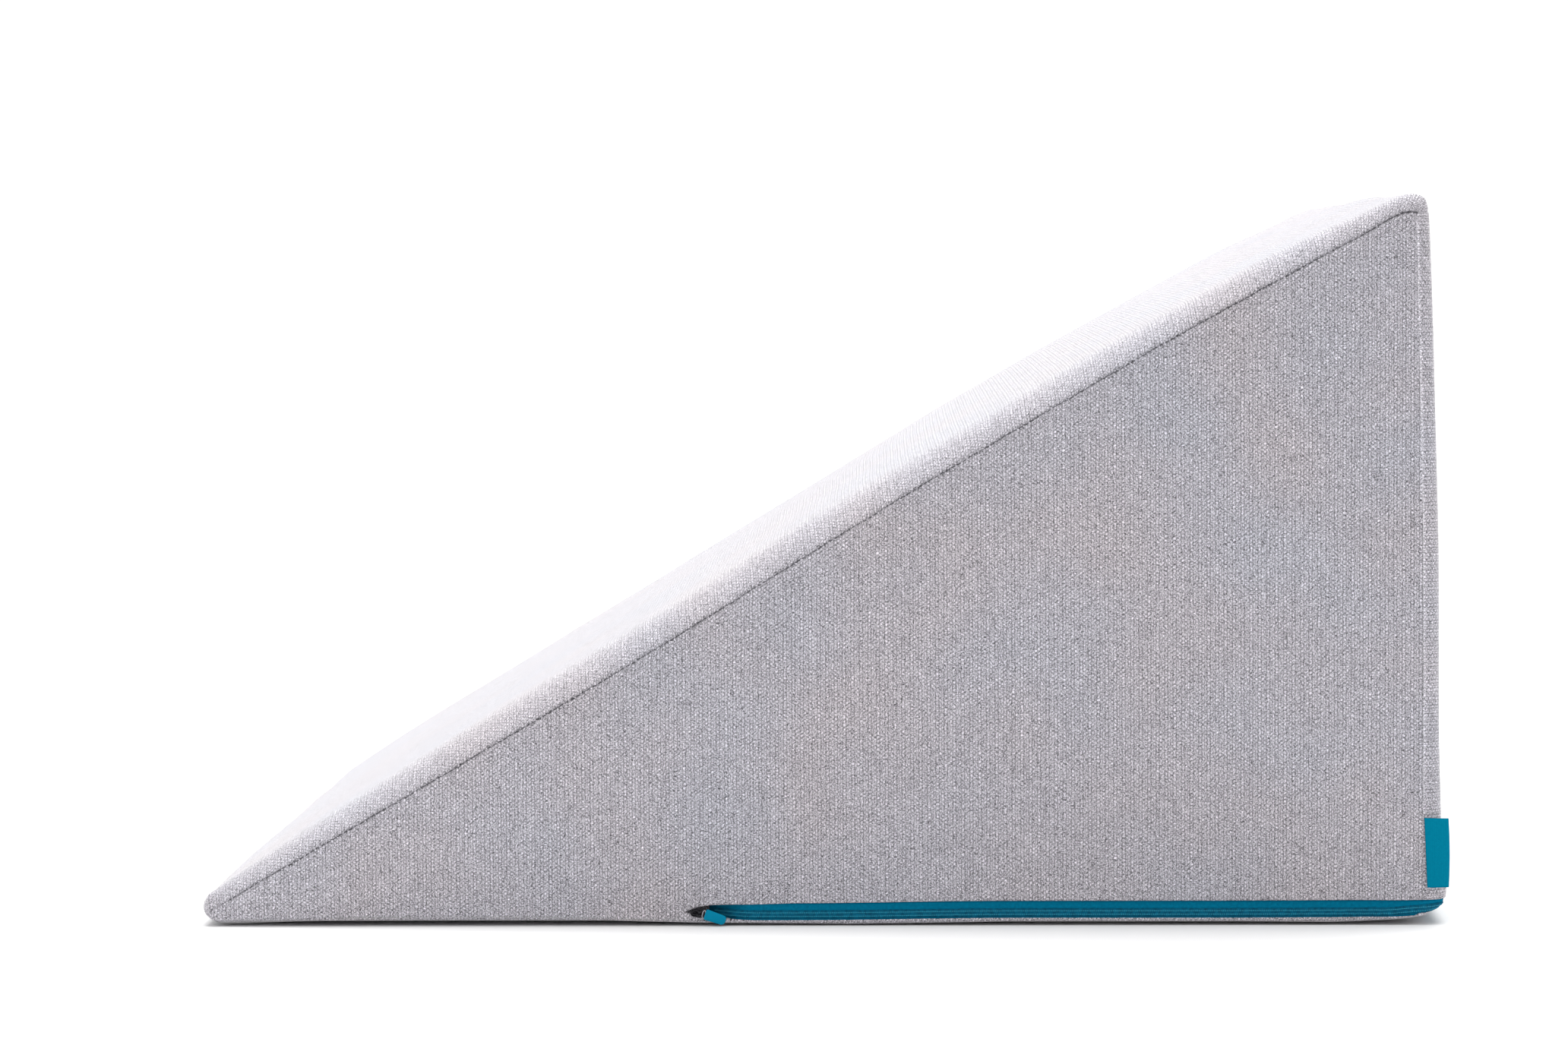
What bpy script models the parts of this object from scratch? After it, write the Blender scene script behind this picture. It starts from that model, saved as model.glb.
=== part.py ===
"""Wedge pillow: a foam wedge in a sewn woven cover, with a coil zip round its foot and a woven tab.

Metres, +Z up. The thin edge is towards -X, the tall back towards +X, and the side with the zip's
slider towards -Y. The origin is at the middle of the footprint, on the surface that it lies on.
"""

from math import cos, pi, radians, sin

import bmesh
import bpy
import numpy as np

MM = 0.001

# Driving dimensions
LENGTH = 600 * MM
WIDTH = 600 * MM
SIDE_CROWN = 3.0 * MM
CROWN_REACH = 60 * MM
TOP_CROWN = 2.5 * MM
BACK_CROWN = 2.0 * MM
SEAM_DEPTH = 1.5 * MM
SEAM_REACH = 4.0 * MM
GAP = 0.3 * MM

# Where the seam of a side panel runs, and the edge that the neighbouring panel makes beyond it.
# Each row: seam x, seam z, edge x, edge z, how far the neighbour's roll reaches in from the side.
SLOPE = [
    (5.5, 8.0, 4.6, 19.3, 11.0),
    (27.0, 21.8, 26.0, 32.6, 16.0),
    (90.0, 58.3, 89.0, 69.2, 18.0),
    (217.0, 132.9, 216.0, 143.9, 18.0),
    (342.0, 209.2, 341.0, 220.0, 18.0),
    (405.5, 246.5, 404.5, 257.3, 18.0),
    (469.0, 283.0, 468.0, 293.6, 17.0),
    (533.0, 318.0, 532.0, 328.4, 15.0),
    (560.0, 332.3, 561.0, 341.8, 13.0),
    (570.0, 338.2, 572.5, 347.5, 11.0),
    (576.0, 340.8, 579.5, 349.6, 9.0),
    (580.0, 341.4, 585.0, 349.2, 8.0),
    (582.0, 341.5, 588.3, 346.5, 7.0),
    (583.0, 341.5, 589.6, 341.5, 7.0),
]
BACK = [
    (591.5, 7.0, 600.0, 5.5, 8.5),
    (591.2, 30.0, 598.4, 30.0, 8.0),
    (590.6, 65.0, 596.9, 65.0, 7.5),
    (587.7, 190.0, 595.0, 190.0, 7.0),
    (585.0, 295.0, 591.4, 295.0, 7.0),
    (583.0, 341.5, 589.6, 341.5, 7.0),
]
BASE = [
    (5.5, 3.5, 9.5, 0.0, 7.0),
    (60.0, 3.5, 60.0, 0.0, 5.0),
    (230.0, 3.7, 230.0, 0.0, 6.0),
    (450.0, 5.4, 450.0, 0.0, 12.0),
    (560.0, 6.8, 562.0, 0.0, 20.0),
    (580.0, 7.0, 588.0, 0.0, 16.0),
    (591.5, 7.0, 600.0, 5.5, 8.5),
]
NOSE = [
    (5.5, 3.5, 9.5, 0.0, 7.0),
    (5.2, 4.6, 3.0, 3.2, 9.0),
    (5.0, 5.8, 0.0, 9.6, 10.0),
    (5.2, 7.0, 1.4, 15.2, 11.0),
    (5.5, 8.0, 4.6, 19.3, 11.0),
]

# The mesh is close beside a seam, at these distances from it, and even in between.
BESIDE_SEAM = (1.0 * MM, 2.5 * MM, 5.0 * MM, 10.0 * MM)
COLUMNS = 34
ROWS = 18
ROLL_STEPS = 6
ACROSS = 10
WELD = 0.02 * MM

# The two back corners of the base curl up off the surface, from this far along the base.
CORNER_LIFT = 2.0 * MM
LIFT_START = 430 * MM
LIFT_FADE_Z = 5.0 * MM

# Slow unevenness of the filled cover: height, and waves along X and Y over the whole size.
RIPPLES = [(0.5 * MM, 5.2, 1.4, 0.4), (0.35 * MM, 9.1, 2.7, 1.9)]

# The zip, as heights above the base seam and as distances out of the side's plane.
ZIP_START = 233 * MM
ZIP_END_BACK = 25 * MM
SEAT_DEPTH = 2.4 * MM
SEAT_HEIGHT = 7.9 * MM
SEAT_MOUTH = 8.0 * MM
SEAT_LEAD = 9.0 * MM
TAPE_THICK = 0.7 * MM
LOWER_TAPE = (0.3 * MM, 1.3 * MM)
COIL_BAND = (1.6 * MM, 5.2 * MM)
UPPER_TAPE = (5.5 * MM, 7.6 * MM)
COIL_THICK = 1.5 * MM
COIL_EDGE = 0.5 * MM
COIL_WAIST = 0.25 * MM
CORNER_RADIUS = 8.5 * MM
CORNER_STEPS = 8
ZIP_STEP = 30 * MM
BACK_STEPS = 14

SLIDER_SIZE = (4.8 * MM, 2.2 * MM, 4.4 * MM)
SLIDER_NOSE = 0.72
SLIDER_EDGE = 0.5 * MM
SLIDER_X = 236.8 * MM
SLIDER_Z = 7.2 * MM
PULL_LENGTH = 9.6 * MM
PULL_WIDTH = 5.0 * MM
PULL_END_WIDTH = 4.5 * MM
PULL_THICK = 1.5 * MM
PULL_EDGE = 0.45 * MM
PULL_DROP = radians(19)
PULL_CORNER = 0.9 * MM
PULL_X = SLIDER_X + SLIDER_SIZE[0] + GAP + PULL_CORNER
PULL_Z = 5.8 * MM

LABEL_ROOT_X = 590.0 * MM
LABEL_REACH = 12.0 * MM
LABEL_FOOT_Z = 19.0 * MM
LABEL_HEIGHT = 33.5 * MM
LABEL_THICK = 1.0 * MM
LABEL_BOW = 0.5 * MM
LABEL_TAPER = 0.3 * MM
LABEL_STEPS = 8
FOLD_SHARE = 0.6

SIDE_PLANE = WIDTH / 2 - SIDE_CROWN
ORIGIN_X = (LABEL_ROOT_X + LABEL_REACH) / 2


def new_collection(name):
    collection = bpy.data.collections.new(name)
    bpy.context.scene.collection.children.link(collection)
    return collection


def finish_material(name, color, roughness, metallic=0.0):
    material = bpy.data.materials.new(name)
    material.use_nodes = True
    shader = material.node_tree.nodes["Principled BSDF"]
    shader.inputs["Base Color"].default_value = (*color, 1.0)
    shader.inputs["Roughness"].default_value = roughness
    shader.inputs["Metallic"].default_value = metallic
    return material


def object_from(mesh_maker, name, collection, material=None):
    """A new object whose mesh is what mesh_maker puts into an empty bmesh."""
    work = bmesh.new()
    mesh_maker(work)
    bmesh.ops.recalc_face_normals(work, faces=work.faces)
    mesh = bpy.data.meshes.new(name)
    work.to_mesh(mesh)
    work.free()
    made = bpy.data.objects.new(name, mesh)
    collection.objects.link(made)
    if material:
        mesh.materials.append(material)
        mesh.shade_smooth()
        mesh.set_sharp_from_angle(angle=radians(40))
    return made


class Run:
    """One side of a side panel's outline: seam, edge and roll as smooth functions of 0 to 1."""

    def __init__(self, rows):
        self.table = np.array(rows) * MM
        steps = np.linalg.norm(np.diff(self.table[:, :2], axis=0), axis=1)
        self.at = np.concatenate([[0], np.cumsum(steps)])
        self.length = self.at[-1]
        self.slopes = np.gradient(self.table, self.at, axis=0)

    def __call__(self, fraction):
        place = min(max(fraction, 0.0), 1.0) * self.length
        left = min(max(np.searchsorted(self.at, place) - 1, 0), len(self.at) - 2)
        span = self.at[left + 1] - self.at[left]
        t = (place - self.at[left]) / span
        rise = t * t * (3 - 2 * t)
        return (
            self.table[left] * (1 - rise)
            + self.table[left + 1] * rise
            + self.slopes[left] * span * t * (1 - t) ** 2
            - self.slopes[left + 1] * span * t * t * (1 - t)
        )


def stations(length, count):
    """Fractions along a run: close together beside the seams at its ends, even in the middle."""
    beside = np.array((0.0, *BESIDE_SEAM)) * min(1.0, length / (5 * BESIDE_SEAM[-1]))
    middle = np.linspace(beside[-1], length - beside[-1], count - 2 * len(BESIDE_SEAM) + 1)
    return np.concatenate([beside[:-1], middle, length - beside[:-1][::-1]]) / length


def channel(distance):
    """How deep a seam draws the cover in at this distance from it."""
    return SEAM_DEPTH * max(0.0, 1 - distance / SEAM_REACH) ** 2


def ripple(x, y):
    return sum(
        size * sin(along * x / LENGTH * pi + turn) * cos(across * y / WIDTH * pi)
        for size, along, across, turn in RIPPLES
    )


def distance_to_path(point, path):
    """Shortest distance in X and Z from a point to a closed path."""
    start = path
    step = np.roll(path, -1, axis=0) - start
    t = ((point - start) * step).sum(axis=1) / (step**2).sum(axis=1)
    nearest = start + step * np.clip(t, 0, 1)[:, None]
    return np.linalg.norm(point - nearest, axis=1).min()


slope, back, base, nose = Run(SLOPE), Run(BACK), Run(BASE), Run(NOSE)


def side_panel_points():
    """The side panel as a grid [column][row] of (x, z): a patch between its four seams."""
    across = stations(slope.length, COLUMNS)
    grid = np.zeros((COLUMNS + 1, ROWS + 1, 2))
    corners = base(0)[:2], base(1)[:2], slope(0)[:2], slope(1)[:2]
    for i, u in enumerate(across):
        low, high = base(u)[:2], slope(u)[:2]
        for j, v in enumerate(stations(high[1] - low[1], ROWS)):
            flat = (1 - u) * (1 - v) * corners[0] + u * (1 - v) * corners[1]
            flat = flat + (1 - u) * v * corners[2] + u * v * corners[3]
            sides = (1 - u) * nose(v)[:2] + u * back(v)[:2]
            grid[i, j] = (1 - v) * low + v * high + sides - flat
    return across, grid


def outline_runs(across):
    """The closed outline as (run, fraction) pairs: base, back, slope and nose in turn."""
    up_back = stations(back.length, ROWS)
    up_nose = stations(nose.length, ROWS)
    loop = [(base, u) for u in across[:-1]]
    loop += [(back, v) for v in up_back[:-1]]
    loop += [(slope, u) for u in across[:0:-1]]
    loop += [(nose, v) for v in up_nose[:0:-1]]
    return loop


def cross_seams(loop):
    """Distance along the edge from each outline point to the nearest seam that runs across."""
    edge = np.array([run(fraction)[2:4] for run, fraction in loop])
    steps = np.linalg.norm(np.roll(edge, -1, axis=0) - edge, axis=1)
    at = np.concatenate([[0], np.cumsum(steps)[:-1]])
    around = steps.sum()
    seams = [at[0], at[COLUMNS + ROWS]]
    apart = [np.abs((at - seam + around / 2) % around - around / 2) for seam in seams]
    return edge, np.min(apart, axis=0)


def corner_lift(x, y, z):
    """How far the base's back corners stand off the surface at a point of the cover."""
    along = min(max((x - LIFT_START) / (LENGTH - LIFT_START), 0.0), 1.0)
    fade = max(0.0, 1 - z / LIFT_FADE_Z)
    return CORNER_LIFT * along**2 * (2 * abs(y) / WIDTH) ** 6 * fade


def crown_of(run, fraction):
    """How far the middle of the cover stands proud of its edge there."""
    bulge = sin(pi * fraction)
    return {slope: TOP_CROWN, back: BACK_CROWN}.get(run, 0.0) * bulge


def band_rows(loop):
    """The cover round the wedge, from the near seam to the far one, as [row][outline point]."""
    edge, from_seam = cross_seams(loop)
    ahead = np.roll(edge, -1, axis=0) - np.roll(edge, 1, axis=0)
    outward = np.stack([ahead[:, 1], -ahead[:, 0]], axis=1)
    outward /= np.linalg.norm(outward, axis=1)[:, None]
    near = []
    for step in range(ROLL_STEPS + 1):
        turn = pi / 2 * step / ROLL_STEPS
        row = []
        for n, (run, fraction) in enumerate(loop):
            seam_x, seam_z, edge_x, edge_z, reach = run(fraction)
            grown = np.array((edge_x - seam_x, edge_z - seam_z)) * sin(turn)
            inset = reach * (1 - cos(turn))
            drawn_in = channel(np.hypot(np.linalg.norm(grown), inset))
            place = np.array((seam_x, seam_z)) + grown
            place = place - outward[n] * channel(from_seam[n]) * sin(turn)
            row.append((place[0], -SIDE_PLANE + inset + drawn_in, place[1]))
        near.append(row)
    middle = []
    for step in range(1, ACROSS):
        row = []
        for n, (run, fraction) in enumerate(loop):
            reach = run(fraction)[4]
            half = SIDE_PLANE - reach
            y = half * (2 * step / ACROSS - 1)
            crown = crown_of(run, fraction) * (1 - (y / half) ** 2)
            if run is slope:
                crown += ripple(edge[n][0], y) * sin(pi * fraction)
            place = edge[n] + outward[n] * (crown - channel(from_seam[n]))
            row.append((place[0], y, place[1]))
        middle.append(row)
    far = [[(x, -y, z) for x, y, z in row] for row in reversed(near)]
    rows = near + middle + far
    return [[(x, y, z + corner_lift(x, y, z)) for x, y, z in row] for row in rows]


def add_grid(work, rows, closed):
    """Quads between neighbouring rows of points, which are rings where closed. Gives its ends."""
    made = [[work.verts.new(point) for point in row] for row in rows]
    count = len(rows[0])
    for low, high in zip(made, made[1:]):
        for n in range(count if closed else count - 1):
            m = (n + 1) % count
            work.faces.new((low[n], low[m], high[m], high[n]))
    return made[0], made[-1]


def make_cushion(work):
    across, grid = side_panel_points()
    loop = outline_runs(across)
    seam = np.array([run(fraction)[:2] for run, fraction in loop])
    for side in (-1, 1):
        rows = []
        for column in grid:
            row = []
            for point in column:
                distance = distance_to_path(point, seam)
                crown = SIDE_CROWN * (1 - np.exp(-((distance / CROWN_REACH) ** 2)))
                y = SIDE_PLANE + crown - channel(distance)
                row.append((point[0], side * y, point[1]))
            rows.append(row)
        add_grid(work, rows, closed=False)
    add_grid(work, band_rows(loop), closed=True)
    bmesh.ops.remove_doubles(work, verts=work.verts, dist=WELD)


def base_seam_z(x):
    """Height of the base seam, where the zip's lower edge lies, at this distance from the nose."""
    rows = np.array(BASE) * MM
    return float(np.interp(x, rows[:, 0], rows[:, 1]))


def zip_path(start):
    """Points (x, y, outward x, outward y) along the side, round the corner and along the back."""
    turn_x = LENGTH - CORNER_RADIUS
    straight = np.arange(start, turn_x - ZIP_STEP / 5, ZIP_STEP)
    points = [(x, -SIDE_PLANE, 0, -1) for x in straight]
    for step in range(CORNER_STEPS + 1):
        angle = pi / 2 * step / CORNER_STEPS
        out_x, out_y = sin(angle), -cos(angle)
        x = turn_x + CORNER_RADIUS * out_x
        y = CORNER_RADIUS - SIDE_PLANE + CORNER_RADIUS * out_y
        points.append((x, y, out_x, out_y))
    first = CORNER_RADIUS - SIDE_PLANE
    last = SIDE_PLANE - ZIP_END_BACK
    points += [(LENGTH, y, 1, 0) for y in np.linspace(first, last, BACK_STEPS + 1)[1:]]
    return points


def add_strip(work, rows):
    """A closed solid through like sections, capped at both ends."""
    ends = add_grid(work, rows, closed=True)
    for end in ends:
        work.faces.new(end)


def sweep(work, path, section):
    """A strip along the zip: section is a list of (out, up) round it, out from the side's plane."""
    rows = []
    for x, y, out_x, out_y in path:
        foot = base_seam_z(x)
        rows.append([(x + out * out_x, y + out * out_y, foot + up) for out, up in section])
    add_strip(work, rows)


def rectangle(out, up):
    return [(out[0], up[0]), (out[1], up[0]), (out[1], up[1]), (out[0], up[1])]


def make_zip_seat(work):
    path = zip_path(ZIP_START)
    x, y, out_x, out_y = path[-1]
    path[-1] = (x, y + GAP, out_x, out_y)
    sweep(work, path, rectangle((-SEAT_DEPTH, SEAT_MOUTH), (0.0, SEAT_HEIGHT)))


def make_tape(band):
    low = GAP - SEAT_DEPTH
    path = zip_path(ZIP_START + GAP)
    return lambda work: sweep(work, path, rectangle((low, low + TAPE_THICK), band))


def make_coil(work):
    low = GAP - SEAT_DEPTH
    high = low + COIL_THICK
    bottom, top = COIL_BAND
    middle = (bottom + top) / 2
    section = [
        (low, bottom),
        (high - COIL_EDGE, bottom),
        (high, bottom + COIL_EDGE),
        (high - COIL_WAIST, middle),
        (high, top - COIL_EDGE),
        (high - COIL_EDGE, top),
        (low, top),
    ]
    sweep(work, zip_path(ZIP_START + SEAT_LEAD), section)


def make_slider(work):
    """A short block that stands on the chain's start, narrower at the end that the pull hangs on."""
    bmesh.ops.create_cube(work, size=1.0)
    bmesh.ops.scale(work, vec=SLIDER_SIZE, verts=work.verts)
    for vert in work.verts:
        if vert.co.x > 0:
            vert.co.z *= SLIDER_NOSE
    bmesh.ops.bevel(work, geom=work.edges[:], offset=SLIDER_EDGE, segments=2, profile=0.6)
    out = 2 * GAP - SEAT_DEPTH + TAPE_THICK + SLIDER_SIZE[1] / 2
    place = (SLIDER_X + SLIDER_SIZE[0] / 2, -SIDE_PLANE - out, SLIDER_Z)
    bmesh.ops.translate(work, vec=place, verts=work.verts)


def make_pull(work):
    """A flat moulded tab, widest at the slider and dropping towards the back."""
    outline = [
        (0.0, -PULL_WIDTH / 2),
        (PULL_LENGTH, -PULL_END_WIDTH / 2),
        (PULL_LENGTH, PULL_END_WIDTH / 2),
        (0.0, PULL_WIDTH / 2),
    ]
    bottom = [work.verts.new((x, -PULL_THICK / 2, z)) for x, z in outline]
    top = [work.verts.new((x, PULL_THICK / 2, z)) for x, z in outline]
    work.faces.new(bottom)
    work.faces.new(top)
    for n in range(4):
        m = (n + 1) % 4
        work.faces.new((bottom[n], bottom[m], top[m], top[n]))
    bmesh.ops.recalc_face_normals(work, faces=work.faces)
    bmesh.ops.bevel(work, geom=work.edges[:], offset=PULL_EDGE, segments=2, profile=0.6)
    for vert in work.verts:
        x, z = vert.co.x, vert.co.z
        vert.co.x = PULL_X + x * cos(PULL_DROP) + z * sin(PULL_DROP)
        vert.co.z = PULL_Z - x * sin(PULL_DROP) + z * cos(PULL_DROP)
        vert.co.y -= SIDE_PLANE + GAP + PULL_THICK / 2


def make_label(work):
    """A folded tab that leaves the back seam, bows out a little and ends in its fold."""
    rows = []
    for n in range(LABEL_STEPS + 1):
        t = n / LABEL_STEPS
        x = LABEL_ROOT_X + LABEL_REACH * t
        lift = SIDE_PLANE + GAP + LABEL_BOW * sin(pi * t)
        low = LABEL_FOOT_Z + LABEL_TAPER * t
        high = LABEL_FOOT_Z + LABEL_HEIGHT - LABEL_TAPER * t
        thick = LABEL_THICK * (1 if n < LABEL_STEPS else FOLD_SHARE)
        near = -lift - thick
        rows.append([(x, -lift, low), (x, near, low), (x, near, high), (x, -lift, high)])
    add_strip(work, rows)


for leftover in list(bpy.data.objects):
    bpy.data.objects.remove(leftover)

pillow = new_collection("wedge_pillow")
cutters = new_collection("cutters")

cover = finish_material("woven_cover", (0.43, 0.41, 0.45), 0.9)
tape = finish_material("zip_tape", (0.005, 0.17, 0.26), 0.85)
nylon = finish_material("nylon_coil", (0.004, 0.15, 0.24), 0.4)
gunmetal = finish_material("gunmetal", (0.04, 0.04, 0.05), 0.35, 1.0)
rubber = finish_material("moulded_rubber", (0.01, 0.25, 0.36), 0.5)
woven_tab = finish_material("woven_tab", (0.004, 0.2, 0.31), 0.7)

cushion = object_from(make_cushion, "cushion", pillow, cover)
seat = object_from(make_zip_seat, "zip_seat_cutter", cutters)
seat.hide_render = True
seat.display_type = "WIRE"
cut = cushion.modifiers.new("zip_seat", "BOOLEAN")
cut.operation = "DIFFERENCE"
cut.solver = "EXACT"
cut.object = seat

pieces = [
    (make_tape(UPPER_TAPE), "zip_tape_upper", tape),
    (make_tape(LOWER_TAPE), "zip_tape_lower", tape),
    (make_coil, "zip_coil", nylon),
    (make_slider, "zip_slider", gunmetal),
    (make_pull, "zip_pull", rubber),
    (make_label, "label", woven_tab),
]
for maker, name, material in pieces:
    object_from(maker, name, pillow, material)

for made in bpy.data.objects:
    made.location.x = -ORIGIN_X
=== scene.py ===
from math import cos, pi, radians, sin

import bmesh
import bpy
import numpy as np
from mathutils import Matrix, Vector, noise


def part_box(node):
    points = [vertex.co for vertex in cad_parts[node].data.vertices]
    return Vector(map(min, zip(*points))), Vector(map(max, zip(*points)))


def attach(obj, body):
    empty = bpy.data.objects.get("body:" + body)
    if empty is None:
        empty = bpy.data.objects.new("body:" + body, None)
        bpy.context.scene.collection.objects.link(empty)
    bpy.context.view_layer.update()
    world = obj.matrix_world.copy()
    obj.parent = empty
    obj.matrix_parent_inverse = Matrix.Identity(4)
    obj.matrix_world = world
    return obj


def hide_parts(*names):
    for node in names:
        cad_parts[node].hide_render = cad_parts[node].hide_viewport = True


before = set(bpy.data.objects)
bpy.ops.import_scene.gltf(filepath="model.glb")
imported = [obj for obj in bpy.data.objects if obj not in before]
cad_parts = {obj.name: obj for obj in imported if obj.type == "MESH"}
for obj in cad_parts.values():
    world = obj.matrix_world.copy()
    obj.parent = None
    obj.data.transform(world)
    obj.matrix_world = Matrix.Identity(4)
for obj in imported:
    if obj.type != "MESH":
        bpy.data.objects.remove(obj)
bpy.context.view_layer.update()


# The cover
# Five panels of a marled plain weave, sewn edge to edge over a firm foam wedge. The top panel wraps
# over the ridge and round the thin edge, and each panel rolls into the seam beside it.

MM = 0.001
LENGTH = 600 * MM
WIDTH = 600 * MM
SIDE_CROWN = 3.0 * MM
CROWN_REACH = 60 * MM
TOP_CROWN = 5.0 * MM
BACK_CROWN = 2.0 * MM
SIDE_PLANE = WIDTH / 2 - SIDE_CROWN
NOSE_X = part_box("cushion")[0].x

# Seam x, seam z, edge x, edge z and reach of the roll in from the side, in mm from the thin edge.
SLOPE = [
    (3.2, 7.4, 1.2, 15.0, 11.0),
    (27.0, 21.8, 26.0, 31.8, 20.0),
    (90.0, 58.3, 89.0, 70.4, 25.0),
    (217.0, 132.9, 215.6, 146.3, 27.0),
    (342.0, 209.2, 340.4, 222.4, 27.0),
    (405.5, 246.5, 404.1, 259.3, 26.0),
    (469.0, 283.0, 467.8, 294.8, 24.0),
    (533.0, 318.0, 532.0, 328.9, 19.0),
    (560.0, 332.3, 561.0, 341.8, 13.0),
    (570.0, 338.2, 572.5, 347.5, 11.0),
    (576.0, 340.8, 579.5, 349.6, 9.0),
    (580.0, 341.4, 585.0, 349.2, 8.0),
    (582.0, 341.5, 588.3, 346.5, 7.0),
    (583.0, 341.5, 589.6, 341.5, 7.0),
]
BACK = [
    (582.6, 4.4, 589.6, 4.8, 9.0),
    (585.0, 6.7, 594.8, 6.9, 10.0),
    (586.0, 9.4, 598.0, 9.4, 11.0),
    (586.3, 13.5, 599.0, 13.5, 12.0),
    (586.4, 20.0, 599.2, 20.0, 12.0),
    (586.5, 30.0, 597.6, 30.0, 11.0),
    (586.6, 65.0, 595.9, 65.0, 9.5),
    (586.2, 190.0, 594.2, 190.0, 8.0),
    (584.0, 295.0, 591.2, 295.0, 7.0),
    (583.0, 341.5, 589.6, 341.5, 7.0),
]
BASE = [
    (4.2, 3.4, 9.0, 1.0, 7.0),
    (60.0, 3.9, 60.0, 0.0, 24.0),
    (190.0, 3.7, 190.0, 0.0, 24.0),
    (235.0, 2.5, 235.0, 0.0, 24.0),
    (300.0, 2.2, 300.0, 0.0, 24.0),
    (380.0, 3.0, 380.0, 0.0, 24.0),
    (450.0, 3.0, 450.0, 0.0, 24.0),
    (500.0, 3.0, 500.0, 0.3, 24.0),
    (530.0, 3.1, 530.0, 1.0, 22.0),
    (560.0, 3.4, 560.0, 2.1, 18.0),
    (574.0, 3.7, 577.0, 2.8, 15.0),
    (579.6, 4.1, 584.2, 3.5, 12.0),
    (582.6, 4.4, 589.6, 4.8, 9.0),
]
NOSE = [
    (4.2, 3.4, 9.0, 1.0, 7.0),
    (3.4, 4.6, 3.0, 3.2, 9.0),
    (2.9, 5.6, -0.7, 6.6, 10.0),
    (3.0, 6.5, -1.2, 11.0, 11.0),
    (3.2, 7.4, 1.2, 15.0, 11.0),
]


class Run:
    """One side of a side panel's outline, as a smooth curve through its rows."""

    def __init__(self, rows):
        self.table = np.array(rows) * MM
        steps = np.linalg.norm(np.diff(self.table[:, :2], axis=0), axis=1)
        self.at = np.concatenate([[0], np.cumsum(steps)])
        self.length = self.at[-1]
        self.slopes = np.gradient(self.table, self.at, axis=0)

    def __call__(self, fractions):
        """The rows at these fractions of the run's length."""
        place = np.clip(np.asarray(fractions, float), 0, 1) * self.length
        left = np.clip(np.searchsorted(self.at, place) - 1, 0, len(self.at) - 2)
        span = (self.at[left + 1] - self.at[left])[..., None]
        t = (place - self.at[left])[..., None] / span
        rise = t * t * (3 - 2 * t)
        return (
            self.table[left] * (1 - rise)
            + self.table[left + 1] * rise
            + self.slopes[left] * span * t * (1 - t) ** 2
            - self.slopes[left + 1] * span * t * t * (1 - t)
        )


slope, back, base, nose = Run(SLOPE), Run(BACK), Run(BASE), Run(NOSE)

# Distances from a seam at which the cover's mesh has a line, so that the crease is round.
BESIDE_SEAM = np.array((0, 0.25, 0.55, 0.95, 1.5, 2.3, 3.4, 5, 7.5, 11, 16)) * MM
COLUMNS = 236
MIDDLE_ROWS = 42
ROLL_STEPS = 13
ACROSS = 48

# The mouth that the zip lies in: x from the thin edge, then its low and high line over the base seam.
ZIP_MOUTH = np.array([
    (0, 4.2, 4.3),
    (233, 4.2, 4.3),
    (238, 3.0, 6.2),
    (245, 1.6, 7.4),
    (256, 0.4, 7.9),
    (285, 0.4, 8.7),
    (340, 0.55, 8.9),
    (560, 0.55, 8.9),
    (580, 0.2, 8.9),
    (600, 0.2, 8.9),
]) * MM
ZIP_START = 233 * MM
ZIP_END_INSET = 25 * MM
ZIP_LAST_Y = SIDE_PLANE - ZIP_END_INSET
MOUTH_DEPTH = 2.2 * MM
START_DEPTH = 11.0 * MM
START_DEEP_TO = 239 * MM
START_SHALLOW_FROM = 266 * MM
FOLD_RADIUS = 0.8 * MM
LIP_ROWS = np.array((0.0, 0.45, 0.9))
FLOOR_ROWS = np.array((0.02, 0.2, 0.4, 0.6, 0.8, 0.96))
FOLD_ROWS = np.array((-0.02, 0.0, 0.12, 0.3, 0.55, 0.9, 1.4, 2.2, 3.5, 5.5)) * MM
SHORT_COLUMN = 60 * MM


def spaced(length, count):
    """Places from 0 to length, close beside both ends and even in between."""
    beside = BESIDE_SEAM * min(1, length / (6 * BESIDE_SEAM[-1]))
    middle = np.linspace(beside[-1], length - beside[-1], count - 2 * len(beside) + 3)
    return np.concatenate([beside[:-1], middle, length - beside[-2::-1]])


def mouth_at(x):
    """Low and high line of the zip's mouth over the base seam, at x from the thin edge."""
    return (np.interp(x, ZIP_MOUTH[:, 0], ZIP_MOUTH[:, column]) for column in (1, 2))


def row_heights(x, height):
    """The side panel's lines in one column, as heights over the base seam."""
    low, high = mouth_at(x)
    share = min(1, height / SHORT_COLUMN)
    lip = low * LIP_ROWS
    floor = low + (high - low) * FLOOR_ROWS
    foot = np.concatenate([lip, floor, high + FOLD_ROWS]) * share
    top = height - BESIDE_SEAM[::-1] * share
    return np.concatenate([foot, np.linspace(foot[-1], top[0], MIDDLE_ROWS)[1:-1], top])


def smooth_step(value, low, high):
    """0 below low, 1 above high and an even curve in between."""
    t = np.clip((value - low) / (high - low), 0, 1)
    return t * t * (3 - 2 * t)


across = spaced(slope.length, COLUMNS) / slope.length
base_line, slope_line = base(across), slope(across)
heights = np.array([
    row_heights(low[0], high[1] - low[1]) for low, high in zip(base_line, slope_line)
])
up = heights / heights[:, -1:]
ROWS = up.shape[1] - 1
nose_line, back_line = nose(up[0]), back(up[-1])

# How fast the bow of the back and the nose dies away into the side panel.
BOW_POWER = 40


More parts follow.
